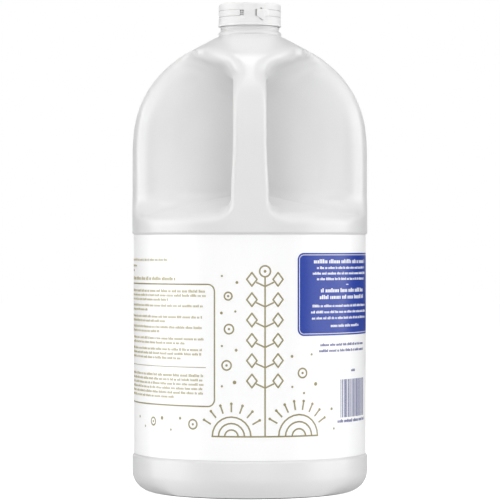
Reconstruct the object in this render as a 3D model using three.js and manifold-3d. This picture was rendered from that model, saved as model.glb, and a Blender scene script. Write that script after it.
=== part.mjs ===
// A one gallon vinegar jug: blow-moulded bottle with a handle, wrap-round label and tear-band cap.
// Millimetres, +Z up. The origin is the middle of the base, and the handle faces -Y.
import * as THREE from "three";
import { mergeVertices } from "three/addons/utils/BufferGeometryUtils.js";
import Module from "manifold-3d";

const wasm = await Module();
wasm.setup();

// Body of revolution
const bodyRadius = 76.2;
const ringOuter = 63.2; // flat ring that the jug stands on
const ringInner = 57;
const pushUp = 2.4; // the base is pushed up this much inside its ring
const heelRadius = bodyRadius - ringOuter;
const panelRadius = 74.6; // the label lies in this shallow panel
const panelBottom = 24.2;
const panelTop = 165.4;
const panelStep = 0.9;

// Dome: straight wall, a slow arc, a quick arc, then a straight shoulder up to the neck
const domeStart = 217.2;
const slowRadius = 130;
const slowTurn = THREE.MathUtils.degToRad(7.4);
const quickRadius = 64.7;
const shoulderSlope = THREE.MathUtils.degToRad(28.3);
const domeTop = 292.6;

// Neck
const neckRadius = 18.7;
const grooveRadius = 20.45; // foot of the neck, just under the bead
const grooveHeight = 293.55;
const beadCentre = new THREE.Vector2(19.25, 295.15); // the bead is half an ellipse round this point
const beadWidth = 1.15;
const beadHeight = 1.55;
const beadTurns = [-60, -22, 22, 70].map(THREE.MathUtils.degToRad);
const neckFoot = 297.2; // the straight neck starts here, over the bead
const ringLine = 298.5; // fine ring under the cap
const ringSize = 0.4; // how far it stands out, and half its height
const stepBottom = 299.7; // the neck steps in between these two
const stepTop = 300.2;
const finishRadius = 18.1; // the part that the cap screws over
const finishTop = 311.8;

// Recesses at both sides of the handle
const wallMiddle = 4; // how far in front of the axis the back wall stands, in the middle
const wallRim = 36.5; // and where it would meet the body's side
const wallCurve = 1.73; // how late the wall bends forwards
const lipTurn = THREE.MathUtils.degToRad(65.9); // way that the lip at both sides faces, from the front
const lipShare = 0.935; // how far out the lip lies, of the body's own radius
const lipRounding = 26.8; // between the wall and the lip
const floorFront = 177.5;
const floorRise = 0.21; // rise of the floor for each millimetre inwards
const ceilingBack = 268.5;
const ceilingSide = 0.5; // rise of the ceiling sideways
const ceilingFront = 0.2; // and forwards
const ceilingRounding = 13;
const floorRounding = 4; // between floor and wall, in the middle
const cornerRounding = 14; // and at the sides
const cornerStart = 18; // it grows between these two places sideways
const cornerFull = 60;
const edgeRounding = 6.5; // outer edge of floor and ceiling
const edgeStart = 12; // it grows from the handle's rounding between these two places sideways
const edgeFull = 26;
const rimRounding = 2.9; // outer edge of the lip
const rimTurns = [50, 66]; // it takes over between these two turns, in degrees from the front

// Handle
const handleWidth = 20.8;
const handleFootWidth = 23.5;
const handleDepth = 26;
const handleRounding = 3;
const handleInnerRounding = 6;
const handleFillet = 9; // where the handle runs into the body
const taperBottom = 187; // the handle widens slowly between these two, towards its foot
const taperTop = 225;
const handleBottom = 172;
const handleTop = 276;
const footMiddle = 181; // below and above these two the body's own surface covers the handle
const headMiddle = 266;
const sunkEnd = 0.4; // there the handle's solid stays this much under that surface

// Label
const labelInner = 75;
const labelOuter = 75.25;
const labelBottom = 25.1;
const labelTop = 164.5;

// Cap
const capBottom = 300.5;
const capTop = 314.7;
const capRadius = 20.1;
const capSkirtRadius = 20.4;
const skirtHeight = 1; // the wider skirt, before it eases in
const skirtEase = 0.7;
const capBore = 18.5;
const capRoof = 312.2; // underside of the cap's top
const capEdge = 1.2;
const scoreHeights = [306.55, 310.55];
const scoreHalf = 0.28;
const scoreDepth = 0.6;
const scoreGap = [-6.6, 12.2]; // no score lines between these two places, seen from the front
const tabThickness = 1.25;
const tabSunk = 0.35; // how far the pull tab's back lies inside the cap's wall
const holeDepth = 1;
const sockets = { xs: [-5.7, -4.6], zs: [306.95, 308.05, 309.3], width: 0.95, height: 0.85 };
const tabSlits = [
  { x: 4.04, z: 308.2, width: 0.8, height: 4.2, lean: 0 },
  { x: 7.2, z: 310.95, width: 0.9, height: 0.6, lean: 0 },
  { x: 6.7, z: 304.05, width: 3.4, height: 0.75, lean: THREE.MathUtils.degToRad(28) },
];

const fullTurn = Math.PI * 2;
const bodyReach = 2 * bodyRadius; // longest rays from inside the body and inside the handle
const handleReach = 32;

// Distances of the dome's outline, negative inside
const slowCentre = new THREE.Vector2(bodyRadius - slowRadius, domeStart);
const quickCentre = slowCentre.clone().add(
  new THREE.Vector2(Math.cos(slowTurn), Math.sin(slowTurn)).multiplyScalar(slowRadius - quickRadius),
);
const shoulderNormal = new THREE.Vector2(Math.sin(shoulderSlope), Math.cos(shoulderSlope));
const shoulderStart = quickCentre.clone().addScaledVector(shoulderNormal, quickRadius);

function shellDistance(radial, z) {
  if (z <= domeStart) return radial - bodyRadius;
  if (Math.atan2(z - slowCentre.y, radial - slowCentre.x) < slowTurn) {
    return Math.hypot(radial - slowCentre.x, z - slowCentre.y) - slowRadius;
  }
  if (Math.atan2(z - quickCentre.y, radial - quickCentre.x) < Math.PI / 2 - shoulderSlope) {
    return Math.hypot(radial - quickCentre.x, z - quickCentre.y) - quickRadius;
  }
  return (radial - shoulderStart.x) * shoulderNormal.x + (z - shoulderStart.y) * shoulderNormal.y;
}

// Inside both a and b, with the corner between them rounded
function roundedMax(a, b, radius) {
  const corner = Math.hypot(Math.max(a + radius, 0), Math.max(b + radius, 0));
  return Math.min(-radius, Math.max(a, b)) + corner;
}

// The space that is taken out in front of the back wall, between floor and ceiling
function recessDistance(x, y, z) {
  const across = Math.abs(x);
  const radial = Math.hypot(x, y);
  const bow = (across / bodyRadius) ** wallCurve;
  const plainWall = y + wallMiddle + (wallRim - wallMiddle) * bow;
  const lipPlace = lipShare * (radial - shellDistance(radial, z));
  const lip = lipPlace - across * Math.sin(lipTurn) + y * Math.cos(lipTurn);
  const wall = -roundedMax(-plainWall, -lip, lipRounding);
  const floor = floorFront + floorRise * (bodyRadius - radial) - z;
  const sideways = Math.max(across - handleWidth / 2, 0);
  const ceiling = z - ceilingBack - ceilingSide * sideways - ceilingFront * (-y - wallMiddle);
  const atCorner = THREE.MathUtils.smoothstep(across, cornerStart, cornerFull);
  const rounding = THREE.MathUtils.lerp(floorRounding, cornerRounding, atCorner);
  const floored = roundedMax(wall, floor * Math.cos(Math.atan(floorRise)), rounding);
  return roundedMax(floored, ceiling * Math.cos(Math.atan(ceilingSide)), ceilingRounding);
}

// The bar of the handle, a given depth behind the dome's outline
function barDistance(x, y, z) {
  const taper = 1 - THREE.MathUtils.smoothstep(z, taperBottom, taperTop);
  const width = handleWidth + (handleFootWidth - handleWidth) * taper;
  const inner = -shellDistance(Math.hypot(x, y), z) - handleDepth;
  return roundedMax(Math.abs(x) - width / 2, inner, handleInnerRounding);
}

// The dome's outline without the open space round the handle
function jugDistance(x, y, z) {
  const open = roundedMax(recessDistance(x, y, z), -barDistance(x, y, z), handleFillet);
  const turn = THREE.MathUtils.radToDeg(Math.atan2(Math.abs(x), -y));
  const atEdge = THREE.MathUtils.smoothstep(Math.abs(x), edgeStart, edgeFull);
  const atRim = THREE.MathUtils.smoothstep(turn, ...rimTurns);
  const rounding =
    handleRounding + (edgeRounding - handleRounding) * atEdge + (rimRounding - edgeRounding) * atRim;
  return roundedMax(shellDistance(Math.hypot(x, y), z), -open, rounding);
}

// The handle's solid, just under the body's surface at both ends
function handleDistance(x, y, z) {
  const covered = z < footMiddle || z > headMiddle;
  return jugDistance(x, y, z) + (covered ? sunkEnd : 0);
}

// How far a level ray runs from an inner point until it first comes out, up to a limit
function reach(distance, centreY, angle, z, limit) {
  const valueAt = (run) => distance(run * Math.sin(angle), centreY - run * Math.cos(angle), z);
  const stride = 0.5;
  let inside = 0;
  while (inside + stride < limit && valueAt(inside + stride) < 0) inside += stride;
  let outside = inside + stride;
  for (let halving = 0; halving < 20; halving += 1) {
    const middle = (inside + outside) / 2;
    if (valueAt(middle) < 0) inside = middle;
    else outside = middle;
  }
  return Math.min(inside, limit);
}

// Rings of a lathe grid, each turned from the profile and then moved by place(angle, row)
function latheGrid(rows, segments, place) {
  const profile = rows.map((row) => new THREE.Vector2(row.r, row.z));
  const geometry = new THREE.LatheGeometry(profile, segments);
  const positions = geometry.getAttribute("position");
  for (let index = 0; index < positions.count; index += 1) {
    const row = rows[index % rows.length];
    const column = Math.floor(index / rows.length) % segments;
    const point = place(column, row);
    positions.setXYZ(index, point.x, point.y, point.z);
  }
  return geometry;
}

// A closed geometry as a solid, with its shared vertices merged
function toSolid(geometry) {
  const bare = geometry.clone();
  bare.deleteAttribute("normal");
  bare.deleteAttribute("uv");
  const merged = mergeVertices(bare, 1e-4);
  const corners = merged.getIndex().array;
  const kept = [];
  for (let i = 0; i < corners.length; i += 3) {
    const [a, b, c] = corners.slice(i, i + 3);
    if (a !== b && b !== c && c !== a) kept.push(a, b, c);
  }
  const vertProperties = new Float32Array(merged.getAttribute("position").array);
  return new wasm.Manifold(
    new wasm.Mesh({ numProp: 3, vertProperties, triVerts: new Uint32Array(kept) }),
  );
}

function toGeometry(solid) {
  const mesh = solid.getMesh();
  const geometry = new THREE.BufferGeometry();
  geometry.setAttribute("position", new THREE.BufferAttribute(mesh.vertProperties, 3));
  geometry.setIndex(new THREE.BufferAttribute(mesh.triVerts, 1));
  geometry.computeVertexNormals();
  return geometry;
}

// Heights spread evenly from one to another, without the last
function spread(from, to, count) {
  return Array.from({ length: count }, (_, i) => from + ((to - from) * i) / count);
}

// Rows of the body: base, heel, label panel, recess zone, shoulder and neck
function bodyRows() {
  const rows = [
    { r: 0, z: pushUp },
    { r: ringInner - 9, z: pushUp },
    { r: ringInner, z: 0 },
  ];
  for (const turn of spread(0, Math.PI / 2, 5)) {
    const r = ringOuter + heelRadius * Math.sin(turn);
    rows.push({ r, z: heelRadius * (1 - Math.cos(turn)) });
  }
  rows.push(
    { r: bodyRadius, z: heelRadius },
    { r: bodyRadius, z: panelBottom - panelStep },
    { r: panelRadius, z: panelBottom },
    { r: panelRadius, z: panelTop },
    { r: bodyRadius, z: panelTop + panelStep },
  );
  const cast = [
    ...spread(170, 176, 3),
    ...spread(176, 195, 14),
    ...spread(195, 261, 8),
    ...spread(261, 287, 13),
    ...spread(287, domeTop, 2),
    domeTop,
  ];
  for (const z of cast) rows.push({ r: bodyRadius, z, cast: true });
  rows.push({ r: grooveRadius, z: grooveHeight });
  for (const turn of beadTurns) {
    const r = beadCentre.x + beadWidth * Math.cos(turn);
    rows.push({ r, z: beadCentre.y + beadHeight * Math.sin(turn) });
  }
  rows.push(
    { r: neckRadius, z: neckFoot },
    { r: neckRadius, z: ringLine - ringSize },
    { r: neckRadius + ringSize, z: ringLine },
    { r: neckRadius, z: ringLine + ringSize },
    { r: neckRadius, z: stepBottom },
    { r: finishRadius, z: stepTop },
    { r: finishRadius, z: finishTop },
    { r: 0, z: finishTop },
  );
  return rows;
}

// Columns stand closer at the handle's sides and where the recess's rim runs
function bodyColumns() {
  const degrees = [
    ...spread(0, 5, 2),
    ...spread(5, 14, 6),
    ...spread(14, 46, 6),
    ...spread(46, 76, 11),
    ...spread(76, 180, 10),
  ];
  const back = degrees.slice(1).reverse().map((degree) => 360 - degree);
  return [...degrees, 180, ...back].map(THREE.MathUtils.degToRad);
}

// The rays start well behind the recess's wall, and nearer the axis towards the neck
function rayStart(z) {
  return 20 * (1 - THREE.MathUtils.clamp((z - 265) / 28, 0, 1));
}

function bodySolid() {
  const rows = bodyRows();
  const columns = bodyColumns();
  const geometry = latheGrid(rows, columns.length, (column, row) => {
    const centreY = row.r > ringInner - 10 ? rayStart(row.z) : 0;
    const shape = row.cast ? jugDistance : (x, y) => Math.hypot(x, y) - row.r;
    const length = row.r > 0 ? reach(shape, centreY, columns[column], row.z, bodyReach) : 0;
    const x = length * Math.sin(columns[column]);
    const y = row.r > 0 ? centreY - length * Math.cos(columns[column]) : 0;
    return { x, y, z: row.z };
  });
  return toSolid(geometry);
}

// The rays start on the handle's middle line
function handleSolid() {
  const segments = 28;
  const heights = [
    ...spread(handleBottom, taperBottom, 9),
    ...spread(taperBottom, taperTop, 4),
    ...spread(taperTop, 255, 5),
    ...spread(255, handleTop, 10),
    handleTop,
  ];
  const rows = heights.map((z) => ({ r: 1, z }));
  rows.unshift({ r: 0, z: handleBottom });
  rows.push({ r: 0, z: handleTop });
  const outline = (x, y, z) => shellDistance(Math.hypot(x, y), z);
  const geometry = latheGrid(rows, segments, (column, row) => {
    const centreY = handleDepth / 2 - reach(outline, 0, 0, row.z, bodyReach);
    const angle = ((column + 0.5) / segments) * fullTurn;
    const length = row.r > 0 ? reach(handleDistance, centreY, angle, row.z, handleReach) : 0;
    return { x: length * Math.sin(angle), y: centreY - length * Math.cos(angle), z: row.z };
  });
  return toSolid(geometry);
}

function makeJug() {
  return toGeometry(bodySolid().add(handleSolid()));
}

// A plain ring round the body
function makeLabel() {
  const profile = [
    new THREE.Vector2(labelInner, labelBottom),
    new THREE.Vector2(labelOuter, labelBottom),
    new THREE.Vector2(labelOuter, labelTop),
    new THREE.Vector2(labelInner, labelTop),
    new THREE.Vector2(labelInner, labelBottom),
  ];
  const geometry = new THREE.LatheGeometry(profile, 72);
  geometry.rotateX(Math.PI / 2);
  return toGeometry(toSolid(geometry));
}

// Rows of the cap: skirt, score lines, rounded top, then back down inside
function capRows() {
  const rows = [
    { r: capBore, z: capBottom },
    { r: capSkirtRadius, z: capBottom },
    { r: capSkirtRadius, z: capBottom + skirtHeight },
    { r: capRadius, z: capBottom + skirtHeight + skirtEase },
  ];
  for (const z of scoreHeights) {
    rows.push(
      { r: capRadius, z: z - scoreHalf },
      { r: capRadius, z, score: true },
      { r: capRadius, z: z + scoreHalf },
    );
  }
  for (const turn of spread(0, Math.PI / 2, 3)) {
    const r = capRadius - capEdge * (1 - Math.cos(turn));
    rows.push({ r, z: capTop - capEdge * (1 - Math.sin(turn)) });
  }
  rows.push(
    { r: capRadius - capEdge, z: capTop },
    { r: 0, z: capTop },
    { r: 0, z: capRoof },
    { r: capBore, z: capRoof },
    { r: capBore, z: capBottom },
  );
  return rows;
}

function capBody() {
  const segments = 60;
  const geometry = latheGrid(capRows(), segments, (column, row) => {
    const angle = (column / segments) * fullTurn;
    const x = row.r * Math.sin(angle);
    const atGap = Math.cos(angle) > 0 && x > scoreGap[0] && x < scoreGap[1];
    const r = row.score && !atGap ? row.r - scoreDepth : row.r;
    return { x: r * Math.sin(angle), y: -r * Math.cos(angle), z: row.z };
  });
  return toSolid(geometry);
}

// The pull tab, drawn flat and bent round the cap
function tabSolid() {
  const outline = new THREE.Shape();
  outline.moveTo(4.9, 310.3);
  outline.lineTo(11.3, 310.3);
  outline.lineTo(12.3, 309.4);
  outline.lineTo(12.3, 306.2);
  outline.quadraticCurveTo(12.2, 305.7, 11.8, 305.7);
  outline.lineTo(9.8, 305.3);
  outline.lineTo(9.5, 303.4);
  outline.quadraticCurveTo(9.2, 302.9, 8.6, 303.1);
  outline.lineTo(4.9, 305.7);
  outline.quadraticCurveTo(4.5, 305.9, 4.5, 306.3);
  outline.lineTo(4.5, 309.9);
  outline.quadraticCurveTo(4.5, 310.3, 4.9, 310.3);
  const geometry = new THREE.ExtrudeGeometry(outline, {
    depth: tabThickness,
    bevelEnabled: false,
    curveSegments: 3,
  });
  const positions = geometry.getAttribute("position");
  for (let i = 0; i < positions.count; i += 1) {
    const angle = positions.getX(i) / capRadius;
    const r = capRadius - tabSunk + positions.getZ(i);
    const z = positions.getY(i);
    positions.setXYZ(i, r * Math.sin(angle), -r * Math.cos(angle), z);
  }
  return toSolid(geometry);
}

// A block that cuts a small hole in the cap's wall, seen from the front
function holeSolid({ x, z, width, height, lean }) {
  const angle = Math.asin(x / capRadius);
  const block = new THREE.BoxGeometry(width, holeDepth * 2, height);
  block.rotateY(lean);
  block.rotateZ(angle);
  block.translate(capRadius * Math.sin(angle), -capRadius * Math.cos(angle), z);
  return toSolid(block);
}

function makeCap() {
  const { width, height } = sockets;
  const holes = [...tabSlits];
  for (const x of sockets.xs) {
    for (const z of sockets.zs) holes.push({ x, z, width, height, lean: 0 });
  }
  let cap = capBody();
  for (const hole of holes) cap = cap.subtract(holeSolid(hole));
  return toGeometry(cap.add(tabSolid()));
}

const whitePlastic = new THREE.MeshStandardMaterial({ color: 0xe9eaeb, roughness: 0.42 });
const capPlastic = new THREE.MeshStandardMaterial({ color: 0xf1f1f1, roughness: 0.38 });
const paper = new THREE.MeshStandardMaterial({ color: 0xfdfdfd, roughness: 0.5 });

function part(name, geometry, material) {
  const mesh = new THREE.Mesh(geometry, material);
  mesh.name = name;
  return mesh;
}

const vinegarJug = new THREE.Group();
vinegarJug.add(
  part("jug", makeJug(), whitePlastic),
  part("label", makeLabel(), paper),
  part("cap", makeCap(), capPlastic),
);

export default vinegarJug;
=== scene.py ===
import bpy
import bmesh
import math
import random
import numpy as np
from mathutils import Matrix, Vector


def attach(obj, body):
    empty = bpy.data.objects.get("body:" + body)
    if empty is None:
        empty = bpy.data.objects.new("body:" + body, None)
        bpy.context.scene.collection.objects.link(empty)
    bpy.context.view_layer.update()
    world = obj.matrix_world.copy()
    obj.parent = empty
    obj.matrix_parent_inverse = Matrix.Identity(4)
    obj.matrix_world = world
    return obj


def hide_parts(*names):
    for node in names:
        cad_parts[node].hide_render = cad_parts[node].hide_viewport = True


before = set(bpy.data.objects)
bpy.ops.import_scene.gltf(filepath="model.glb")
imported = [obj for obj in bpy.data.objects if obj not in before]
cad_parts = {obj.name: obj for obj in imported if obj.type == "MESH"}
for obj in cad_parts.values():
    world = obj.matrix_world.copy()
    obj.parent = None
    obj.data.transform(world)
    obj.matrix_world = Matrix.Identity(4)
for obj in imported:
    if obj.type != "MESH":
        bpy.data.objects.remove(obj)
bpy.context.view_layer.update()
scene = bpy.context.scene
mm = 0.001               # shapes are made in millimetres and shrunk to metres at the end
print("frame loaded")


# camera, level with the middle of the jug and looking at its handle
cameraView = dict(distance=1.665, height=0.1556, lens=184.7, sensor=36.0, shiftX=0.0004)


def makeCamera():
    cameraData = bpy.data.cameras.new("camera")
    cameraData.lens = cameraView["lens"]
    cameraData.sensor_width = cameraView["sensor"]
    cameraData.shift_x = cameraView["shiftX"]
    cameraData.clip_start = 0.05
    cameraData.clip_end = 60
    camera = bpy.data.objects.new("camera", cameraData)
    camera.location = (0, -cameraView["distance"], cameraView["height"])
    camera.rotation_euler = (math.radians(90), 0, 0)
    scene.collection.objects.link(camera)
    scene.camera = camera


makeCamera()


# materials
def newMaterial(name, colour, roughness, specular):
    material = bpy.data.materials.new(name)
    material.use_nodes = True
    shader = material.node_tree.nodes["Principled BSDF"]
    shader.inputs["Base Color"].default_value = (*colour, 1)
    shader.inputs["Roughness"].default_value = roughness
    shader.inputs["Specular IOR Level"].default_value = specular
    return material, material.node_tree, shader


def noiseOn(tree, scale, detail=2.0, roughness=0.5, stretch=(1, 1, 1)):
    place = tree.nodes.new("ShaderNodeTexCoord")
    mapping = tree.nodes.new("ShaderNodeMapping")
    mapping.inputs["Scale"].default_value = stretch
    noise = tree.nodes.new("ShaderNodeTexNoise")
    noise.inputs["Scale"].default_value = scale
    noise.inputs["Detail"].default_value = detail
    noise.inputs["Roughness"].default_value = roughness
    tree.links.new(place.outputs["Object"], mapping.inputs["Vector"])
    tree.links.new(mapping.outputs["Vector"], noise.inputs["Vector"])
    return noise.outputs["Fac"]


def spreadRange(tree, value, low, high):
    # most of a noise lies between 0.3 and 0.7
    mapRange = tree.nodes.new("ShaderNodeMapRange")
    mapRange.inputs["From Min"].default_value = 0.3
    mapRange.inputs["From Max"].default_value = 0.7
    mapRange.inputs["To Min"].default_value = low
    mapRange.inputs["To Max"].default_value = high
    tree.links.new(value, mapRange.inputs["Value"])
    return mapRange.outputs["Result"]


def mixColours(tree, value, first, second):
    ramp = tree.nodes.new("ShaderNodeValToRGB")
    ramp.color_ramp.elements[0].position = 0.35
    ramp.color_ramp.elements[1].position = 0.65
    ramp.color_ramp.elements[0].color = (*first, 1)
    ramp.color_ramp.elements[1].color = (*second, 1)
    tree.links.new(value, ramp.inputs["Fac"])
    return ramp.outputs["Color"]


def bumpFrom(tree, shader, heights):
    # heights: (value, depth in metres), stacked one on the other
    normal = None
    for value, depth in heights:
        bump = tree.nodes.new("ShaderNodeBump")
        bump.inputs["Strength"].default_value = 1
        bump.inputs["Distance"].default_value = depth
        tree.links.new(value, bump.inputs["Height"])
        if normal is not None:
            tree.links.new(normal, bump.inputs["Normal"])
        normal = bump.outputs["Normal"]
    tree.links.new(normal, shader.inputs["Normal"])


def makeFinish(name, look):
    # clouds: (scale, detail, roughness, stretch) of a noise; bumps: such a noise and its depth in metres
    material, tree, shader = newMaterial(name, look["colour"], look["roughness"], look["specular"])
    colour = mixColours(tree, noiseOn(tree, *look["cloud"]), look["darker"], look["lighter"])
    tree.links.new(colour, shader.inputs["Base Color"])
    rough = spreadRange(tree, noiseOn(tree, *look["roughCloud"]), *look["roughRange"])
    tree.links.new(rough, shader.inputs["Roughness"])
    if "bleed" in look:
        shader.inputs["Subsurface Weight"].default_value = look["bleed"]
        shader.inputs["Subsurface Radius"].default_value = look["bleedTint"]
        shader.inputs["Subsurface Scale"].default_value = look["bleedDepth"]
    bumpFrom(tree, shader, [(noiseOn(tree, *cloud), depth) for cloud, depth in look["bumps"]])
    return material


# blow-moulded polyethylene: satin, a little cloudy, with the slow unevenness of a parison
jugLook = dict(
    colour=(0.737, 0.736, 0.738), darker=(0.724, 0.724, 0.727), lighter=(0.75, 0.748, 0.748), cloud=(16, 3),
    roughness=0.31, roughRange=(0.28, 0.34), roughCloud=(60, 4), specular=0.5,
    bleed=0.12, bleedTint=(1, 0.97, 0.93), bleedDepth=0.003,
    bumps=(((24, 1, 0.5, (1, 1, 0.45)), 0.00018), ((2600, 2), 0.000006)),
)
# injection-moulded polypropylene: whiter and less shiny than the jug
capLook = dict(
    colour=(0.81, 0.81, 0.81), darker=(0.8, 0.8, 0.802), lighter=(0.82, 0.82, 0.818), cloud=(90, 2),
    roughness=0.5, roughRange=(0.47, 0.53), roughCloud=(240, 3), specular=0.35,
    bleed=0.1, bleedTint=(1, 0.98, 0.95), bleedDepth=0.0015,
    bumps=(((3200, 2), 0.000005),),
)
# smooth white film that lies on the jug with faint ripples
filmLook = dict(
    colour=(0.95, 0.95, 0.95), darker=(0.945, 0.947, 0.95), lighter=(0.955, 0.954, 0.952), cloud=(30, 2),
    roughness=0.34, roughRange=(0.31, 0.37), roughCloud=(120, 3), specular=0.5,
    bumps=(((20, 1, 0.5, (1, 1, 0.3)), 0.00008), ((1800, 2), 0.000003)),
)
# ink laid on the film, a touch uneven from one spot to the next
inkLook = dict(
    cloud=(700, 3), roughness=0.34, roughRange=(0.31, 0.37), roughCloud=(120, 3), specular=0.5,
    bumps=(((1800, 2), 0.000003),),
)


def makeInk(name, colour, darker):
    return makeFinish(name, dict(inkLook, colour=colour, lighter=colour, darker=darker))


jugPlastic = makeFinish("jugPlastic", jugLook)
capPlastic = makeFinish("capPlastic", capLook)
labelFilm = makeFinish("labelFilm", filmLook)
goldInk = makeInk("goldInk", (0.290, 0.250, 0.105), (0.268, 0.230, 0.094))
smallInk = makeInk("smallInk", (0.450, 0.405, 0.215), (0.425, 0.380, 0.200))
blueInk = makeInk("blueInk", (0.010, 0.045, 0.345), (0.008, 0.039, 0.325))
whiteInk = makeInk("whiteInk", (0.86, 0.87, 0.9), (0.83, 0.84, 0.88))
navyInk = makeInk("navyInk", (0.06, 0.075, 0.25), (0.052, 0.066, 0.23))
print("materials made")


# shared steps for every piece
def finishPiece(bm, name, material, replaced=(), sharpAngle=38):
    bmesh.ops.scale(bm, vec=(mm, mm, mm), verts=bm.verts)
    mesh = bpy.data.meshes.new(name)
    bm.to_mesh(mesh)
    bm.free()
    mesh.shade_smooth()
    mesh.set_sharp_from_angle(angle=math.radians(sharpAngle))
    mesh.materials.append(material)
    piece = bpy.data.objects.new(name, mesh)
    scene.collection.objects.link(piece)
    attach(piece, "root")
    if replaced:
        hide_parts(*replaced)
    print(name, len(mesh.polygons), "faces")
    return piece


def spinProfile(bm, points, steps):
    # turns an outline of (radius, height) points once round the axis, on its own, and adds it
    ring = bmesh.new()
    verts = [ring.verts.new((r, 0, z)) for r, z in points]
    edges = [ring.edges.new(pair) for pair in zip(verts, verts[1:])]
    bmesh.ops.spin(
        ring, geom=verts + edges, cent=(0, 0, 0), axis=(0, 0, 1), angle=2 * math.pi,
        steps=steps, use_merge=True,
    )
    bmesh.ops.remove_doubles(ring, verts=ring.verts, dist=1e-4)
    addMesh(bm, ring)


def addMesh(bm, other):
    passed = bpy.data.meshes.new("passed")
    other.to_mesh(passed)
    other.free()
    bm.from_mesh(passed)
    bpy.data.meshes.remove(passed)


def arcPoints(centre, radius, start, end, count):
    # degrees, 0 outwards and 90 up
    turns = [math.radians(start + (end - start) * i / count) for i in range(count + 1)]
    return [(centre[0] + radius * math.cos(t), centre[1] + radius * math.sin(t)) for t in turns]


def easePoints(low, high, count):
    # a soft step from one (radius, height) to another
    points = []
    for i in range(count + 1):
        t = i / count
        ease = t * t * (3 - 2 * t)
        points.append((low[0] + (high[0] - low[0]) * ease, low[1] + (high[1] - low[1]) * t))
    return points


# the jug: dome, recesses and handle as one rounded form, in millimetres
jugForm = dict(
    bodyRadius=76.2, domeStart=217.2, slowRadius=130.0, slowTurn=7.4, quickRadius=64.7, shoulderSlope=28.3,
    wallMiddle=4.0, wallRim=36.5, wallCurve=1.73, lipTurn=65.9, lipShare=0.935, lipRounding=26.8,
    floorFront=177.5, floorRise=0.21, ceilingBack=266.5, ceilingSide=0.5, ceilingFront=0.1,
    edgeRounding=6.5, rimRounding=2.9, rimStart=12.0, rimFull=26.0, rimTurns=(50.0, 66.0),
    floorRounding=4.0, cornerRounding=14.0, cornerStart=18.0, cornerFull=60.0, ceilingRounding=13.0,
    handleWidth=20.8, footWidth=23.5, handleDepth=26.0, handleRounding=3.0, innerRounding=6.0,
    fillet=7.0, taperBottom=187.0, taperTop=225.0, browRounding=10.0, browStart=250.0, browFull=268.0,
)
slowTurn = math.radians(jugForm["slowTurn"])
slope = math.radians(jugForm["shoulderSlope"])
slowCentre = (jugForm["bodyRadius"] - jugForm["slowRadius"], jugForm["domeStart"])
centreGap = jugForm["slowRadius"] - jugForm["quickRadius"]
quickCentre = (
    slowCentre[0] + centreGap * math.cos(slowTurn),
    slowCentre[1] + centreGap * math.sin(slowTurn),
)
shoulderStart = (
    quickCentre[0] + jugForm["quickRadius"] * math.sin(slope),
    quickCentre[1] + jugForm["quickRadius"] * math.cos(slope),
)


def shoulderRadius(z):
    return shoulderStart[0] - (z - shoulderStart[1]) / math.tan(slope)


def shellDistance(radial, z):
    slow = np.hypot(radial - slowCentre[0], z - slowCentre[1]) - jugForm["slowRadius"]
    quick = np.hypot(radial - quickCentre[0], z - quickCentre[1]) - jugForm["quickRadius"]
    sloping = (radial - shoulderStart[0]) * math.sin(slope) + (z - shoulderStart[1]) * math.cos(slope)
    onSlow = np.arctan2(z - slowCentre[1], radial - slowCentre[0]) < slowTurn
    onQuick = np.arctan2(z - quickCentre[1], radial - quickCentre[0]) < math.pi / 2 - slope
    dome = np.where(onSlow, slow, np.where(onQuick, quick, sloping))
    return np.where(z <= jugForm["domeStart"], radial - jugForm["bodyRadius"], dome)


def roundedMax(a, b, radius):
    corner = np.hypot(np.maximum(a + radius, 0), np.maximum(b + radius, 0))
    return np.minimum(-radius, np.maximum(a, b)) + corner


def smoothStep(value, low, high):
    t = np.clip((value - low) / (high - low), 0, 1)
    return t * t * (3 - 2 * t)


def recessDistance(x, y, z):
    f = jugForm
    across = np.abs(x) / f["bodyRadius"]
    wall = y + f["wallMiddle"] + (f["wallRim"] - f["wallMiddle"]) * across ** f["wallCurve"]
    # a lip, turned between the wall and the body's side, runs down both sides
    radial = np.hypot(x, y)
    turn = math.radians(f["lipTurn"])
    lip = f["lipShare"] * (radial - shellDistance(radial, z))
    lip = lip - np.abs(x) * math.sin(turn) + y * math.cos(turn)
    wall = -roundedMax(-wall, -lip, f["lipRounding"])
    floor = f["floorFront"] + f["floorRise"] * (f["bodyRadius"] - radial) - z
    sideways = np.maximum(np.abs(x) - f["handleWidth"] / 2, 0)
    ceiling = z - f["ceilingBack"] - f["ceilingSide"] * sideways
    ceiling = ceiling - f["ceilingFront"] * (-y - f["wallMiddle"])
    corner = smoothStep(np.abs(x), f["cornerStart"], f["cornerFull"])
    floorRounding = f["floorRounding"] + (f["cornerRounding"] - f["floorRounding"]) * corner
    floored = roundedMax(wall, floor * math.cos(math.atan(f["floorRise"])), floorRounding)
    ceilingFace = ceiling * math.cos(math.atan(f["ceilingSide"]))
    return roundedMax(floored, ceilingFace, f["ceilingRounding"])


def barDistance(x, y, z):
    f = jugForm
    taper = 1 - smoothStep(z, f["taperBottom"], f["taperTop"])
    width = f["handleWidth"] + (f["footWidth"] - f["handleWidth"]) * taper
    inner = -shellDistance(np.hypot(x, y), z) - f["handleDepth"]
    return roundedMax(np.abs(x) - width / 2, inner, f["innerRounding"])


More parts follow.
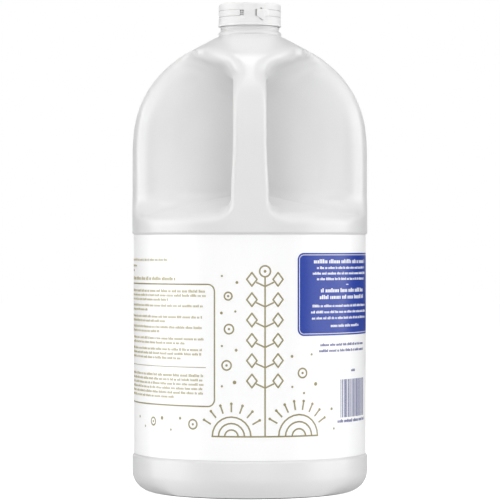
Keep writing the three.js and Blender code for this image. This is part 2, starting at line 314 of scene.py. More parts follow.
def jugDistance(points):
    f = jugForm
    x, y, z = points[:, 0], points[:, 1], points[:, 2]
    openSpace = roundedMax(recessDistance(x, y, z), -barDistance(x, y, z), f["fillet"])
    edge = smoothStep(np.abs(x), f["rimStart"], f["rimFull"])
    rounding = f["handleRounding"] + (f["edgeRounding"] - f["handleRounding"]) * edge
    # under the shoulder one soft brow takes over from both edges
    brow = smoothStep(z, f["browStart"], f["browFull"])
    rounding = rounding + (f["browRounding"] - rounding) * brow
    side = smoothStep(np.degrees(np.arctan2(np.abs(x), -y)), *f["rimTurns"])
    rounding = rounding + (f["rimRounding"] - rounding) * side
    return roundedMax(shellDistance(np.hypot(x, y), z), -openSpace, rounding)


def settleOnForm(bm, rounds, probe=0.02, flattest=0.2, longest=3.0):
    # moves every vertex straight onto the rounded form, by at most the longest step a round
    points = np.array([v.co[:] for v in bm.verts])
    for _ in range(rounds):
        value = jugDistance(points)
        gradient = np.zeros_like(points)
        for axis in range(3):
            offset = np.zeros(3)
            offset[axis] = probe
            ahead = jugDistance(points + offset)
            behind = jugDistance(points - offset)
            gradient[:, axis] = (ahead - behind) / (2 * probe)
        steepness = np.maximum((gradient ** 2).sum(axis=1), flattest)
        points = points - gradient * np.clip(value / steepness, -longest, longest)[:, None]
    for vert, point in zip(bm.verts, points):
        vert.co = point


# where the three stretches of the jug meet, and how fine the upper one is
jugBuild = dict(
    voxel=1.25, firstRounds=6, relaxRounds=3, settleRounds=4, roughBottom=166.6, roughTop=292.6,
    bottom=168.2, top=291.4, baseTop=167.2, neckBottom=292.2, seams=((160, 175), (285, 293)),
    merge=0.02, turnSteps=256,
)


def cutLevel(bm, z, keepAbove):
    bmesh.ops.bisect_plane(
        bm, geom=bm.verts[:] + bm.edges[:] + bm.faces[:], dist=1e-5, plane_co=(0, 0, z),
        plane_no=(0, 0, 1), clear_inner=keepAbove, clear_outer=not keepAbove,
    )


def makeUpperStretch():
    # a fine even mesh over the frame's own jug, relaxed onto the rounded form
    rough = bpy.data.objects.new("roughJug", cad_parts["jug"].data.copy())
    scene.collection.objects.link(rough)
    bm = bmesh.new()
    bm.from_mesh(rough.data)
    bmesh.ops.scale(bm, vec=(1 / mm, 1 / mm, 1 / mm), verts=bm.verts)
    bmesh.ops.remove_doubles(bm, verts=bm.verts, dist=1e-4)
    bm.to_mesh(rough.data)
    bm.free()
    remesh = rough.modifiers.new("fine", "REMESH")
    remesh.mode = "VOXEL"
    remesh.voxel_size = jugBuild["voxel"]
    evaluated = rough.evaluated_get(bpy.context.evaluated_depsgraph_get())
    upper = bmesh.new()
    upper.from_mesh(evaluated.to_mesh())
    evaluated.to_mesh_clear()
    bpy.data.objects.remove(rough)
    cutLevel(upper, jugBuild["roughBottom"], True)
    cutLevel(upper, jugBuild["roughTop"], False)
    settleOnForm(upper, jugBuild["firstRounds"])
    for _ in range(jugBuild["relaxRounds"]):
        bmesh.ops.smooth_vert(
            upper, verts=[v for v in upper.verts if not v.is_boundary], factor=0.5,
            use_axis_x=True, use_axis_y=True, use_axis_z=True,
        )
        settleOnForm(upper, jugBuild["settleRounds"])
    cutLevel(upper, jugBuild["bottom"], True)
    cutLevel(upper, jugBuild["top"], False)
    bmesh.ops.remove_doubles(upper, verts=upper.verts, dist=jugBuild["merge"])
    return upper


# the stretches below and above; rows are the heights with a ring of vertices on the straight side
baseForm = dict(
    ringOuter=63.2, ringInner=57.0, rampWidth=8.0, pushUp=2.4, crown=0.7, panelRadius=74.95,
    panelBottom=24.7, panelTop=165.2, step=1.7, rows=(60, 95, 130),
)
neckForm = dict(
    overlap=0.6, underBead=[(21.3, 293.2), (20.75, 293.6)], beadCentre=(19.25, 295.15), beadRadius=1.15,
    beadHeight=1.55, beadStart=-38, beadSweep=116, beadSteps=12, overBead=[(19.15, 296.85), (18.8, 297.2)],
    neckRadius=18.7, neckStart=297.6, ringHeight=298.5, ringRadius=0.4,
    step=[(18.7, 299.6), (18.6, 300.0), (18.1, 300.4)], finishRadius=18.1, finishTop=311.8, finishEdge=0.6,
)


def baseOutline():
    f = baseForm
    body = jugForm["bodyRadius"]
    heel = body - f["ringOuter"]
    inner = f["ringInner"] - f["rampWidth"]
    points = [(0, f["pushUp"] + f["crown"])]
    for i in range(1, 9):
        share = i / 8
        points.append((inner * share, f["pushUp"] + f["crown"] * (1 - share ** 2)))
    ramp = easePoints((0, inner), (f["pushUp"], f["ringInner"]), 8)
    points += [(radius, f["pushUp"] - drop) for drop, radius in ramp[1:]]
    points += arcPoints((f["ringOuter"], heel), heel, -90, 0, 20)
    points += easePoints((body, f["panelBottom"] - f["step"]), (f["panelRadius"], f["panelBottom"]), 6)
    points += [(f["panelRadius"], row) for row in f["rows"]]
    points += easePoints((f["panelRadius"], f["panelTop"]), (body, f["panelTop"] + f["step"]), 6)
    points.append((body, jugBuild["baseTop"]))
    return points


def neckOutline():
    f = neckForm
    start = jugBuild["neckBottom"]
    points = [(shoulderRadius(z), z) for z in (start, start + f["overlap"])]
    points += f["underBead"]
    for i in range(f["beadSteps"] + 1):
        turn = math.radians(f["beadStart"] + f["beadSweep"] * i / f["beadSteps"])
        r = f["beadCentre"][0] + f["beadRadius"] * math.cos(turn)
        points.append((r, f["beadCentre"][1] + f["beadHeight"] * math.sin(turn)))
    points += f["overBead"]
    points.append((f["neckRadius"], f["neckStart"]))
    points += arcPoints((f["neckRadius"], f["ringHeight"]), f["ringRadius"], -90, 90, 6)
    points += f["step"]
    points.append((f["finishRadius"], f["finishTop"] - f["finishEdge"]))
    points.append((f["finishRadius"] - f["finishEdge"], f["finishTop"]))
    points.append((0, f["finishTop"]))
    return points


def openEdges(bm, low, high):
    edges = []
    for edge in bm.edges:
        heights = [v.co.z for v in edge.verts]
        if edge.is_boundary and min(heights) > low and max(heights) < high:
            edges.append(edge)
    return edges


def makeJug():
    bm = makeUpperStretch()
    spinProfile(bm, baseOutline(), jugBuild["turnSteps"])
    spinProfile(bm, neckOutline(), jugBuild["turnSteps"])
    for low, high in jugBuild["seams"]:
        bmesh.ops.bridge_loops(bm, edges=openEdges(bm, low, high))
    bmesh.ops.recalc_face_normals(bm, faces=bm.faces)
    print("open edges left on the jug:", sum(edge.is_boundary for edge in bm.edges))
    finishPiece(bm, "jugBody", jugPlastic, replaced=["jug"])


makeJug()


# the pinch-off line that a blow-moulded base has across its middle
pinchLine = dict(length=92.0, width=1.1, height=0.55, middle=2.75, edge=0.3)


def makePinchLine():
    bm = bmesh.new()
    bmesh.ops.create_cube(bm, size=1)
    size = (pinchLine["width"], pinchLine["length"], pinchLine["height"] * 2)
    bmesh.ops.scale(bm, vec=size, verts=bm.verts)
    bmesh.ops.bevel(
        bm, geom=bm.edges[:], offset=pinchLine["edge"], segments=3, profile=0.5, affect="EDGES",
        material=-1,
    )
    bmesh.ops.translate(bm, vec=(0, 0, pinchLine["middle"]), verts=bm.verts)
    finishPiece(bm, "pinchLine", jugPlastic)


makePinchLine()


# the cap: skirt, tear band between two score lines, upper shell
capForm = dict(
    bottom=300.1, top=314.7, radius=20.1, bore=18.9, boreEdge=0.3, roof=312.2, edge=1.2, underEdge=0.6,
    skirtRadius=20.4, skirtEdge=0.45, skirtStep=((20.35, 301.1), (20.1, 301.8)),
    topGroove=((16.0, 0), (15.8, 0.12), (15.4, 0.12), (15.2, 0), (8, 0)),
    scores=((306.0, 0.3, 0.8), (310.1, 0.22, 0.6)), scoreShare=0.7, gapFrom=-6.6, gapTo=12.2,
    ridgeHeights=(302.5, 304.2, 307.8, 308.8), ridgeHalf=0.3, ridgeShare=0.4, ridgeDepth=0.09,
    turnSteps=300,
)


def capOutline():
    f = capForm
    inside = (f["bore"], f["bottom"] + f["boreEdge"])
    corner = f["skirtEdge"]
    points = [inside, (f["bore"] + f["boreEdge"], f["bottom"])]
    points += arcPoints((f["skirtRadius"] - corner, f["bottom"] + corner), corner, -90, 30, 5)
    points += easePoints(*f["skirtStep"], 4)
    marks = []
    for height, half, _ in f["scores"]:
        marks += [(f["radius"], height + side * half) for side in (-1, -0.6, 0, 0.6, 1)]
    for height in f["ridgeHeights"]:
        marks += [(f["radius"], height + side * f["ridgeHalf"]) for side in (-1, 0, 1)]
    points += sorted(marks, key=lambda point: point[1])
    points.append((f["radius"], f["top"] - f["edge"] - f["underEdge"]))
    points += arcPoints((f["radius"] - f["edge"], f["top"] - f["edge"]), f["edge"], 0, 90, 8)
    points += [(r, f["top"] - depth) for r, depth in f["topGroove"]]
    points += [(0, f["top"]), (0, f["roof"]), (f["bore"], f["roof"]), inside]
    return points


def carveCapLines(bm):
    # score lines stop on both sides of the gap in the band, ridges run all round
    f = capForm
    for vert in bm.verts:
        radial = math.hypot(vert.co.x, vert.co.y)
        if radial < f["radius"] - 0.02:      # inside the wall or on top
            continue
        depth = 0
        inGap = vert.co.y < 0 and f["gapFrom"] < vert.co.x < f["gapTo"]
        for height, half, cut in f["scores"]:
            if abs(vert.co.z - height) < half * f["scoreShare"] and not inGap:
                depth = cut
        for height in f["ridgeHeights"]:
            if abs(vert.co.z - height) < f["ridgeHalf"] * f["ridgeShare"]:
                depth = -f["ridgeDepth"]
        share = (radial - depth) / radial
        vert.co.x *= share
        vert.co.y *= share


# small holes in the cap's wall: x, z, width, height and lean in degrees, seen from the front
capHoles = dict(
    depth=1.7,
    sockets=[(x, z, 1.1, 0.95, 0) for x in (-5.8, -4.45) for z in (306.75, 308.0, 309.25)],
    tabSlits=[(4.0, 308.0, 0.95, 4.4, 0), (7.4, 310.75, 1.3, 0.8, 0), (7.3, 303.95, 2.4, 0.7, 28)],
)


def addCutBlock(bm, x, z, width, height, lean):
    turn = math.asin(x / capForm["radius"])
    made = bmesh.ops.create_cube(bm, size=1)
    verts = made["verts"]
    bmesh.ops.scale(bm, vec=(width, capHoles["depth"] * 2, height), verts=verts)
    bmesh.ops.rotate(bm, cent=(0, 0, 0), matrix=Matrix.Rotation(math.radians(lean), 3, "Y"), verts=verts)
    bmesh.ops.translate(bm, vec=(0, -capForm["radius"], z), verts=verts)
    bmesh.ops.rotate(bm, cent=(0, 0, 0), matrix=Matrix.Rotation(turn, 3, "Z"), verts=verts)


def carve(piece, cutterMesh):
    # takes the cutter out of the piece for good
    cutter = bpy.data.objects.new("cutter", cutterMesh)
    scene.collection.objects.link(cutter)
    boolean = piece.modifiers.new("cut", "BOOLEAN")
    boolean.operation = "DIFFERENCE"
    boolean.solver = "EXACT"
    boolean.object = cutter
    evaluated = piece.evaluated_get(bpy.context.evaluated_depsgraph_get())
    cutMesh = bpy.data.meshes.new_from_object(evaluated)
    piece.modifiers.clear()
    oldMesh = piece.data
    piece.data = cutMesh
    cutMesh.name = oldMesh.name
    bpy.data.meshes.remove(oldMesh)
    bpy.data.objects.remove(cutter)


def makeCap():
    bm = bmesh.new()
    spinProfile(bm, capOutline(), capForm["turnSteps"])
    carveCapLines(bm)
    bmesh.ops.recalc_face_normals(bm, faces=bm.faces)
    piece = finishPiece(bm, "capShell", capPlastic, replaced=["cap"], sharpAngle=50)
    cutters = bmesh.new()
    for hole in capHoles["sockets"] + capHoles["tabSlits"]:
        addCutBlock(cutters, *hole)
    bmesh.ops.scale(cutters, vec=(mm, mm, mm), verts=cutters.verts)
    cutterMesh = bpy.data.meshes.new("cutter")
    cutters.to_mesh(cutterMesh)
    cutters.free()
    carve(piece, cutterMesh)


makeCap()


def cutUpright(bm, left, right, stride):
    # upright cuts that let a flat drawing bend round
    x = left + stride
    while x < right:
        bmesh.ops.bisect_plane(
            bm, geom=bm.verts[:] + bm.edges[:] + bm.faces[:], plane_co=(x, 0, 0), plane_no=(1, 0, 0),
        )
        x += stride


# the pull tab of the tear band, lying proud of it
tabForm = dict(
    corners=(
        (4.5, 310.3), (4.5, 305.9), (8.6, 303.1), (9.5, 303.2),
        (9.8, 305.3), (12.3, 305.8), (12.3, 309.4), (11.3, 310.3),
    ),
    left=4.5, right=12.3, cornerRounding=0.42, thickness=1.25, sunk=0.35, stride=0.8,
    edge=0.34, edgeSteps=((0.25, 0.62), (0.35, 0.28), (0.4, 0.1)),      # shares in and out
)


def makePullTab():
    f = tabForm
    bm = bmesh.new()
    bm.faces.new([bm.verts.new((x, 0, z)) for x, z in f["corners"]])
    bmesh.ops.bevel(
        bm, geom=bm.verts[:], offset=f["cornerRounding"], segments=4, profile=0.5, affect="VERTICES",
        material=-1, clamp_overlap=True,
    )
    bmesh.ops.recalc_face_normals(bm, faces=bm.faces)
    grown = bmesh.ops.extrude_face_region(bm, geom=bm.faces[:])
    lifted = [item for item in grown["geom"] if isinstance(item, bmesh.types.BMVert)]
    bmesh.ops.translate(bm, vec=(0, f["edge"] - f["thickness"], 0), verts=lifted)
    bmesh.ops.recalc_face_normals(bm, faces=bm.faces)
    front = [face for face in bm.faces if face.normal.y < -0.9]
    for inwards, outwards in f["edgeSteps"]:
        bmesh.ops.inset_region(
            bm, faces=front, thickness=f["edge"] * inwards, depth=f["edge"] * outwards,
        )
    cutUpright(bm, f["left"], f["right"], f["stride"])
    for vert in bm.verts:
        turn = vert.co.x / capForm["radius"]
        radial = capForm["radius"] - f["sunk"] - vert.co.y
        vert.co = Vector((radial * math.sin(turn), -radial * math.cos(turn), vert.co.z))
    bmesh.ops.recalc_face_normals(bm, faces=bm.faces)
    finishPiece(bm, "pullTab", capPlastic)


makePullTab()


# the label: a film round the panel with its two ends lapped, and the print on it
labelForm = dict(
    inner=75.0, outer=75.2, bottom=24.75, top=165.1, rounding=0.05, rows=(60, 95, 130), turnSteps=288,
    lapAt=151.0, lapWidth=7.0, lapLift=0.09, lapSunk=0.05, inkSunk=0.02, inkLift=0.035,
    overprintLift=0.6, overprintGap=0.001, stride=2.0,
)
# lines of print: all sizes are shares of the height of a small letter
wordForm = dict(
    letters=(2, 8), letterWidth=(0.42, 0.72), letterGap=0.192, wordGap=0.62, endGap=0.5,
    tallShare=0.28, tallHeight=1.35,
)


def bendRound(bm):
    # flat drawings have x round the label from the handle's side, z up and -y outwards
    radius = labelForm["outer"]
    for vert in bm.verts:
        turn = vert.co.x / radius
        radial = radius - vert.co.y
        vert.co = Vector((radial * math.sin(turn), -radial * math.cos(turn), vert.co.z))


def flatMatrix(x, z, width, height, turn=0.0):
    # takes a 2 x 2 grid in the xy plane to a width x height one in the xz plane
    size = Matrix.Diagonal((width / 2, height / 2, 1, 1))
    upright = Matrix.Rotation(math.radians(90), 4, "X")
    lean = Matrix.Rotation(-turn, 4, "Y")
    return Matrix.Translation((x, 0, z)) @ lean @ upright @ size


def addBar(bm, x, z, width, height, turn=0.0):
    pieces = max(1, math.ceil(width * abs(math.cos(turn)) / labelForm["stride"]))
    bmesh.ops.create_grid(
        bm, x_segments=pieces, y_segments=1, size=1, matrix=flatMatrix(x, z, width, height, turn),
    )


def addLine(bm, start, end, width):
    dx, dz = end[0] - start[0], end[1] - start[1]
    middle = ((start[0] + end[0]) / 2, (start[1] + end[1]) / 2)
    addBar(bm, *middle, math.hypot(dx, dz), width, math.atan2(dz, dx))


def addArc(bm, centre, radius, start, sweep, width):
    # a band of an arc: a short edge turned round the centre; degrees, 0 along +x and 90 up
    first = math.radians(start)
    ends = []
    for r in (radius - width / 2, radius + width / 2):
        ends.append(bm.verts.new((centre[0] + r * math.cos(first), 0, centre[1] + r * math.sin(first))))
    edge = bm.edges.new(ends)
    steps = max(4, math.ceil(abs(sweep) / 15))       # 15 degrees a step at most
    full = abs(sweep) >= 360
    bmesh.ops.spin(
        bm, geom=ends + [edge], cent=(centre[0], 0, centre[1]), axis=(0, -1, 0),
        angle=math.radians(sweep), steps=steps, use_merge=full,
    )


def addDot(bm, x, z, radius):
    bmesh.ops.create_circle(
        bm, cap_ends=True, segments=14, radius=1, matrix=flatMatrix(x, z, 2 * radius, 2 * radius),
    )


def addLozenge(bm, x, z, width, height, line):
    # four strokes round a diamond
    corners = [(x + width / 2, z), (x, z + height / 2), (x - width / 2, z), (x, z - height / 2)]
    for start, end in zip(corners, corners[1:] + corners[:1]):
        addLine(bm, start, end, line)
    for corner in corners:
        addDot(bm, *corner, line / 2)


def addFrame(bm, left, right, bottom, top, corner, line):
    # the outline of a rectangle with round corners
    addBar(bm, (left + right) / 2, top, right - left - 2 * corner, line)
    addBar(bm, (left + right) / 2, bottom, right - left - 2 * corner, line)
    for x in (left, right):
        addBar(bm, x, (bottom + top) / 2, line, top - bottom - 2 * corner)
    insideLeft, insideRight = left + corner, right - corner
    insideBottom, insideTop = bottom + corner, top - corner
    addArc(bm, (insideRight, insideTop), corner, 0, 90, line)
    addArc(bm, (insideLeft, insideTop), corner, 90, 90, line)
    addArc(bm, (insideLeft, insideBottom), corner, 180, 90, line)
    addArc(bm, (insideRight, insideBottom), corner, 270, 90, line)


def addWords(bm, draw, left, right, z, height):
    # a line of print as small plain blocks, grouped like words
    f = wordForm
    x = left
    while x < right - height * f["endGap"]:
        for _ in range(draw.randint(*f["letters"])):
            width = height * draw.uniform(*f["letterWidth"])
            tall = draw.random() < f["tallShare"]
            blockHeight = height * (f["tallHeight"] if tall else 1.0)
            if x + width > right:
                break
            addBar(bm, x + width / 2, z + (blockHeight - height) / 2, width, blockHeight)
            x += width + height * f["letterGap"]
        x += height * f["wordGap"]


def raiseInk(bm, name, material, lift=1.0, under=0.0):
    # gives the flat drawing its thickness and lays it round the label
    grown = bmesh.ops.extrude_face_region(bm, geom=bm.faces[:])
    raised = [item for item in grown["geom"] if isinstance(item, bmesh.types.BMVert)]
    bmesh.ops.translate(bm, vec=(0, labelForm["inkSunk"] - under, 0), verts=bm.verts)
    bmesh.ops.translate(bm, vec=(0, -labelForm["inkSunk"] - labelForm["inkLift"] * lift, 0), verts=raised)
    bmesh.ops.recalc_face_normals(bm, faces=bm.faces)
    bendRound(bm)
    finishPiece(bm, name, material)


def raiseOverprint(bm, name):
    # white ink that lies on the ink of a filled panel
    f = labelForm
    raiseInk(bm, name, whiteInk, lift=f["overprintLift"], under=f["inkLift"] + f["overprintGap"])


def makeLabel():
    f = labelForm
    bm = bmesh.new()
    r = f["rounding"]
    outline = [(f["inner"], f["bottom"]), (f["outer"] - r, f["bottom"]), (f["outer"], f["bottom"] + r)]
    outline += [(f["outer"], row) for row in f["rows"]]
    outline += [(f["outer"], f["top"] - r), (f["outer"] - r, f["top"]), (f["inner"], f["top"])]
    outline.append(outline[0])
    spinProfile(bm, outline, f["turnSteps"])
    bmesh.ops.recalc_face_normals(bm, faces=bm.faces)
    lap = bmesh.new()
    height = f["top"] - f["bottom"] - 2 * r
    addBar(lap, f["lapAt"], (f["top"] + f["bottom"]) / 2, f["lapWidth"], height)
    grown = bmesh.ops.extrude_face_region(lap, geom=lap.faces[:])
    raised = [item for item in grown["geom"] if isinstance(item, bmesh.types.BMVert)]
    bmesh.ops.translate(lap, vec=(0, f["lapSunk"], 0), verts=lap.verts)
    bmesh.ops.translate(lap, vec=(0, -f["lapSunk"] - f["lapLift"], 0), verts=raised)
    # one long side of the lap runs smoothly into the film, the other is its cut end
    for vert in raised:
        if vert.co.x < f["lapAt"]:
            vert.co.y += f["lapLift"] * min(1, (f["lapAt"] - vert.co.x) / (f["lapWidth"] / 2))
    bmesh.ops.recalc_face_normals(lap, faces=lap.faces)
    bendRound(lap)
    addMesh(bm, lap)
    finishPiece(bm, "labelSheet", labelFilm, replaced=["label"])


makeLabel()


# left text panel: gold frame, heading lines above it, paragraphs in it and a divider
textPanel = dict(
    seed=11, left=-146.0, right=-22.3, bottom=58.3, top=134.2, corner=4.3, line=0.85, margin=4.6,
    divider=82.5, dividerRight=-28.0, dividerLine=0.4, pitch=2.72, height=1.15,
    boldHeight=1.3, boldAt=(129.7, 77.1), ragged=(0, 4), lastLine=(12, 50), headingIn=2,
    headings=((149.3, -57.0, 1.05), (145.6, -97.0, 1.05), (142.6, -104.0, 1.05), (137.4, -50.0, 1.6)),
    paragraphs=((129.7, 3), (120.5, 2), (113.5, 2), (107.0, 2), (99.9, 2), (93.2, 3), (77.1, 6)),
)


def makeTextPanel():
    f = textPanel
    lines = bmesh.new()
    addFrame(lines, f["left"], f["right"], f["bottom"], f["top"], f["corner"], f["line"])
    dividerLeft = f["left"] + f["margin"]
    dividerMiddle = (dividerLeft + f["dividerRight"]) / 2
    addBar(lines, dividerMiddle, f["divider"], f["dividerRight"] - dividerLeft, f["dividerLine"])
    raiseInk(lines, "textPanelFrame", goldInk)
    draw = random.Random(f["seed"])
    words = bmesh.new()
    for z, right, height in f["headings"]:
        addWords(words, draw, f["left"] + f["headingIn"], right, z, height)
    for top, count in f["paragraphs"]:
        for row in range(count):
            right = f["right"] - f["margin"] - draw.uniform(*f["ragged"])
            if row == count - 1:
                right -= draw.uniform(*f["lastLine"])
            height = f["boldHeight"] if row == 0 and top in f["boldAt"] else f["height"]
            addWords(words, draw, f["left"] + f["margin"], right, top - row * f["pitch"], height)
    raiseInk(words, "textPanelWords", smallInk)


makeTextPanel()


# blue panel with a pale inset line and white lines of print
bluePanel = dict(
    left=30.6, right=113.8, bottom=102.0, top=153.8, corner=4.3, inset=1.25, line=0.4, middle=72.2,
    seed=23, dash=(133.9, 2.6, 0.5),
    lines=(
        (148.2, 30.0, 1.9), (144.3, 27.7, 1.2), (140.8, 30.8, 1.2), (137.3, 27.7, 1.2),
        (130.0, 24.6, 1.9), (125.8, 25.5, 1.9), (120.4, 31.0, 1.2), (116.6, 32.1, 1.2),
        (112.8, 31.5, 1.2), (107.9, 16.4, 1.35),
    ),
)


def addRoundPanel(bm, left, right, bottom, top, corner):
    # a filled rectangle with round corners, cut into upright strips so that it can bend
    made = bmesh.ops.create_grid(
        bm, x_segments=1, y_segments=1, size=1,
        matrix=flatMatrix((left + right) / 2, (bottom + top) / 2, right - left, top - bottom),
    )
    bmesh.ops.bevel(
        bm, geom=made["verts"], offset=corner, segments=7, profile=0.5, affect="VERTICES", material=-1,
    )
    cutUpright(bm, left, right, labelForm["stride"])


def makeBluePanel():
    f = bluePanel
    field = bmesh.new()
    addRoundPanel(field, f["left"], f["right"], f["bottom"], f["top"], f["corner"])
    raiseInk(field, "bluePanelField", blueInk)
    draw = random.Random(f["seed"])
    pale = bmesh.new()
    i = f["inset"]
    addFrame(
        pale, f["left"] + i, f["right"] - i, f["bottom"] + i, f["top"] - i, f["corner"] - i, f["line"],
    )
    for z, half, height in f["lines"]:
        addWords(pale, draw, f["middle"] - half, f["middle"] + half, z, height)
    addBar(pale, f["middle"], *f["dash"])
    raiseOverprint(pale, "bluePanelWords")


makeBluePanel()


# bars and small dark print under the blue panel
darkPrint = dict(
    seed=37, left=65.0, right=98.7, bottom=50.0, top=74.0, module=0.34, barWidths=(1, 1, 2, 2, 3),
    gapWidths=(1, 1, 2, 3), lines=((96.0, 25.0, 1.25), (92.3, 26.0, 1.25)),
    smallLines=((62.0, 100.7, 47.6, 1.5), (77.0, 83.0, 79.3, 1.2)),
)


def makeDarkPrint():
    f = darkPrint
    draw = random.Random(f["seed"])
    bm = bmesh.new()
    middle = bluePanel["middle"]
    for z, half, height in f["lines"]:
        addWords(bm, draw, middle - half, middle + half, z, height)
    x = f["left"]
    while x < f["right"]:
        width = f["module"] * draw.choice(f["barWidths"])
        addBar(bm, x + width / 2, (f["bottom"] + f["top"]) / 2, width, f["top"] - f["bottom"])
        x += width + f["module"] * draw.choice(f["gapWidths"])
    for left, right, z, height in f["smallLines"]:
        addWords(bm, draw, left, right, z, height)
    raiseInk(bm, "darkPrint", navyInk)


makeDarkPrint()


# plain ornament in gold line: a mast of diamonds, fans of arches, rings and dots
# fans: x, radii, inner and outer end of the rays, their count; rings and dots: x, z, radius
ornament = dict(
    line=0.95, rayFrom=30, raySweep=120, rayDot=0.9,
    mastX=9.5, mastBottom=40.0, mastTop=139.0, topRing=3.4, topDot=0.9,
    twigs=6, firstTwig=70.0, pitch=12.6, twigOut=5.6, twigUp=2.6,
    lozenge=(6.4, 8.4), lozengeOut=8.2, lozengeUp=4.4, base=39.8, baseEnds=(0.7, 18.1), ringDot=0.75,
    fans=((-11.5, (4.2, 8.2, 12.2), 15.2, 20.4, 7), (31.5, (4.6, 9.0, 13.4), 16.4, 22.0, 8)),
    rings=(
        (-14.5, 84.0, 2.9), (-13.0, 106.5, 2.9), (-13.5, 127.0, 2.4), (34.0, 79.0, 2.9),
        (-37.0, 47.0, 2.9), (-71.0, 47.5, 2.4),
    ),
    dots=(
        (-9.5, 73.5, 1.15), (-17.5, 71.0, 0.7), (-8.5, 93.5, 0.9), (-17.5, 96.0, 0.7), (-17.8, 116.5, 0.9),
        (-9.0, 117.5, 0.7), (-8.0, 135.5, 0.9), (-17.5, 139.5, 0.7), (26.8, 89.5, 0.9), (40.5, 90.5, 0.7),
        (27.0, 70.5, 0.7), (43.5, 72.0, 1.15), (35.0, 66.5, 0.7), (56.5, 56.0, 0.9), (58.5, 43.5, 0.7),
        (-46.5, 50.5, 0.9), (-54.0, 43.0, 0.7), (-62.0, 50.0, 1.15), (-81.0, 44.0, 0.7),
        (-90.0, 49.5, 0.9),
    ),
)


def addFan(bm, x, z, radii, line):
    for radius in radii:
        addArc(bm, (x, z), radius, 0, 180, line)
    addLine(bm, (x - radii[-1] - line / 2, z), (x + radii[-1] + line / 2, z), line)


def addRays(bm, x, z, inner, outer, count, line):
    for i in range(count):
        turn = math.radians(ornament["rayFrom"] + ornament["raySweep"] * i / (count - 1))
        direction = (math.cos(turn), math.sin(turn))
        start = (x + inner * direction[0], z + inner * direction[1])
        end = (x + outer * direction[0], z + outer * direction[1])
        addLine(bm, start, end, line)
        addDot(bm, *end, line * ornament["rayDot"])


def addRing(bm, x, z, radius, line, dot):
    addArc(bm, (x, z), radius, 0, 360, line)
    addDot(bm, x, z, dot)


def makeOrnament():
    f = ornament
    line = f["line"]
    bm = bmesh.new()
    x = f["mastX"]
    addLine(bm, (x, f["mastBottom"]), (x, f["mastTop"]), line)
    addRing(bm, x, f["mastTop"] + f["topRing"], f["topRing"], line, f["topDot"])
    for i in range(f["twigs"]):
        z = f["firstTwig"] + i * f["pitch"]
        for way in (-1, 1):
            addLozenge(bm, x + way * f["lozengeOut"], z + f["lozengeUp"], *f["lozenge"], line)
            addLine(bm, (x, z), (x + way * f["twigOut"], z + f["twigUp"]), line)
    for fanX, radii, inner, outer, count in f["fans"]:
        addFan(bm, fanX, f["base"], radii, line)
        addRays(bm, fanX, f["base"], inner, outer, count, line)
    for end in f["baseEnds"]:
        addLine(bm, (end, f["base"]), (x, f["base"]), line)
    for ringX, ringZ, radius in f["rings"]:
        addRing(bm, ringX, ringZ, radius, line, f["ringDot"])
    for dot in f["dots"]:
        addDot(bm, *dot)
    raiseInk(bm, "goldOrnament", goldInk)


makeOrnament()


# far side of the label: a plain panel, a few lines and ornament of the same kind
farSide = dict(
    seed=41, middle=236.4, panelHalf=52.0, panelBottom=92.0, panelTop=140.0, corner=6, inset=1.6,
    insetCorner=4.4, insetLine=0.5, lines=((126.0, 34.0, 6.0), (112.0, 40.0, 4.2), (101.5, 26.0, 2.4)),
    fanOut=30, fanBase=42, fanRadii=(5.5, 10.5, 15.5), rays=(18.5, 25.0, 9),
    lozengeSteps=(-3, -2, -1, 0, 1, 2, 3), lozengePitch=13, lozengeHeight=78,
    ring=(50, 6.5, 2.2), topLine=149, topLineHalf=58,
)


def makeFarSide():
    f = farSide
    middle = f["middle"]
    left, right = middle - f["panelHalf"], middle + f["panelHalf"]
    field = bmesh.new()
    addRoundPanel(field, left, right, f["panelBottom"], f["panelTop"], f["corner"])
    raiseInk(field, "farPanelField", blueInk)
    draw = random.Random(f["seed"])
    pale = bmesh.new()
    i = f["inset"]
    addFrame(
        pale, left + i, right - i, f["panelBottom"] + i, f["panelTop"] - i, f["insetCorner"],
        f["insetLine"],
    )
    for z, half, height in f["lines"]:
        addWords(pale, draw, middle - half, middle + half, z, height)
    raiseOverprint(pale, "farPanelWords")
    gold = bmesh.new()
    line = ornament["line"]
    for way in (-1, 1):
        x = middle + way * f["fanOut"]
        addFan(gold, x, f["fanBase"], f["fanRadii"], line)
        addRays(gold, x, f["fanBase"], *f["rays"], line)
    for i in f["lozengeSteps"]:
        addLozenge(gold, middle + i * f["lozengePitch"], f["lozengeHeight"], *ornament["lozenge"], line)
    ringZ, ringRadius, ringDot = f["ring"]
    addRing(gold, middle, ringZ, ringRadius, line, ringDot)
    half, z = f["topLineHalf"], f["topLine"]
    addLine(gold, (middle - half, z), (middle + half, z), line)
    raiseInk(gold, "farOrnament", goldInk)


makeFarSide()
print("print laid on the label")


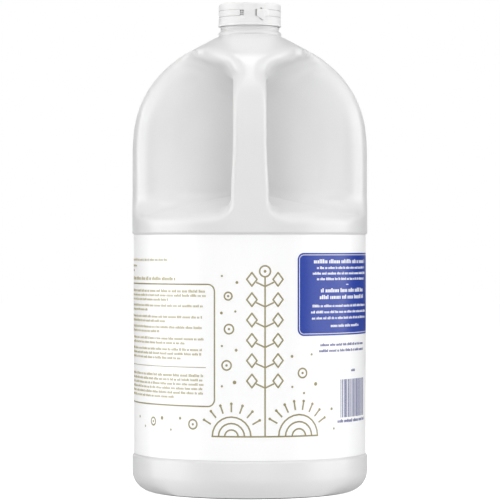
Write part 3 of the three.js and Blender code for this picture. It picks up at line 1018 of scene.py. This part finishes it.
# pale floor and soft studio light; the table boxes stand for the light that a white table throws up
floorForm = dict(half=6.0, colour=(0.9, 0.9, 0.9), roughness=0.9, specular=0.1, glow=1.0)
lampTarget = Vector((0, 0, 0.16))
tableLift = 0.0008       # keeps the table boxes just clear of the floor
softBoxes = dict(
    front=dict(azimuth=0, elevation=5, distance=2.4, size=(1.4, 1.4), power=7.75),
    frontHigh=dict(azimuth=0, elevation=35, distance=2.2, size=(2.0, 0.9), power=6.6),
    frontPair=dict(azimuth=18, elevation=12, distance=2.3, size=(0.8, 1.6), power=5.45, pair=True),
    stripPair=dict(azimuth=65, elevation=10, distance=1.6, size=(0.3, 1.4), power=4.5, pair=True),
    sidePair=dict(azimuth=80, elevation=10, distance=1.6, size=(0.3, 1.4), power=5.15, pair=True),
    rearPair=dict(azimuth=100, elevation=10, distance=1.6, size=(0.3, 1.4), power=7.05, pair=True),
    highPair=dict(azimuth=60, elevation=45, distance=1.8, size=(1.0, 0.9), power=4.4, pair=True),
    top=dict(azimuth=0, elevation=75, distance=1.7, size=(0.8, 0.6), power=5.6),
    topRear=dict(azimuth=180, elevation=80, distance=1.7, size=(0.8, 0.6), power=7.0),
    back=dict(azimuth=180, elevation=10, distance=3.0, size=(3.0, 1.2), power=7.0),
)
tableBoxes = dict(
    tableFront=dict(y=-0.6, size=(1.8, 1.1), power=2.0),
    tableWide=dict(y=0.0, size=(3.0, 3.0), power=13.5),
)


def makeFloor():
    bm = bmesh.new()
    bmesh.ops.create_grid(bm, x_segments=8, y_segments=8, size=floorForm["half"])
    mesh = bpy.data.meshes.new("floor")
    bm.to_mesh(mesh)
    bm.free()
    f = floorForm
    material, _, shader = newMaterial("floorPaper", f["colour"], f["roughness"], f["specular"])
    shader.inputs["Emission Color"].default_value = (1, 1, 1, 1)
    shader.inputs["Emission Strength"].default_value = f["glow"]
    mesh.materials.append(material)
    floor = bpy.data.objects.new("floor", mesh)
    floor.visible_diffuse = False
    floor.visible_glossy = False
    scene.collection.objects.link(floor)


def makeLamp(name, location, aim, size, power):
    light = bpy.data.lights.new(name, "AREA")
    light.shape = "RECTANGLE"
    light.size, light.size_y = size
    light.energy = power
    lamp = bpy.data.objects.new(name, light)
    lamp.location = location
    lamp.rotation_mode = "QUATERNION"
    lamp.rotation_quaternion = aim.to_track_quat("-Z", "Y")
    lamp.visible_camera = False
    scene.collection.objects.link(lamp)


def makeSoftBox(name, azimuth, elevation, distance, size, power, pair=False):
    # degrees, azimuth 0 in front of the handle and 90 on the right
    e = math.radians(elevation)
    for side in (1, -1) if pair else (1,):
        a = math.radians(azimuth * side)
        back = Vector((math.sin(a) * math.cos(e), -math.cos(a) * math.cos(e), math.sin(e)))
        makeLamp(name, lampTarget + back * distance, -back, size, power)


def makeTableBox(name, y, size, power):
    # lies on the floor and shines up
    makeLamp(name, Vector((0, y, tableLift)), Vector((0, 0, 1)), size, power)


def makeWorld():
    world = bpy.data.worlds.new("studio")
    world.use_nodes = True
    world.node_tree.nodes["Background"].inputs["Color"].default_value = (1, 1, 1, 1)
    world.node_tree.nodes["Background"].inputs["Strength"].default_value = 1
    scene.world = world
    for kind in ("diffuse", "glossy", "transmission", "scatter"):
        setattr(world.cycles_visibility, kind, False)
    scene.view_settings.view_transform = "Standard"


makeFloor()
for boxName, box in softBoxes.items():
    makeSoftBox(boxName, **box)
for boxName, box in tableBoxes.items():
    makeTableBox(boxName, **box)
makeWorld()
print("studio set")
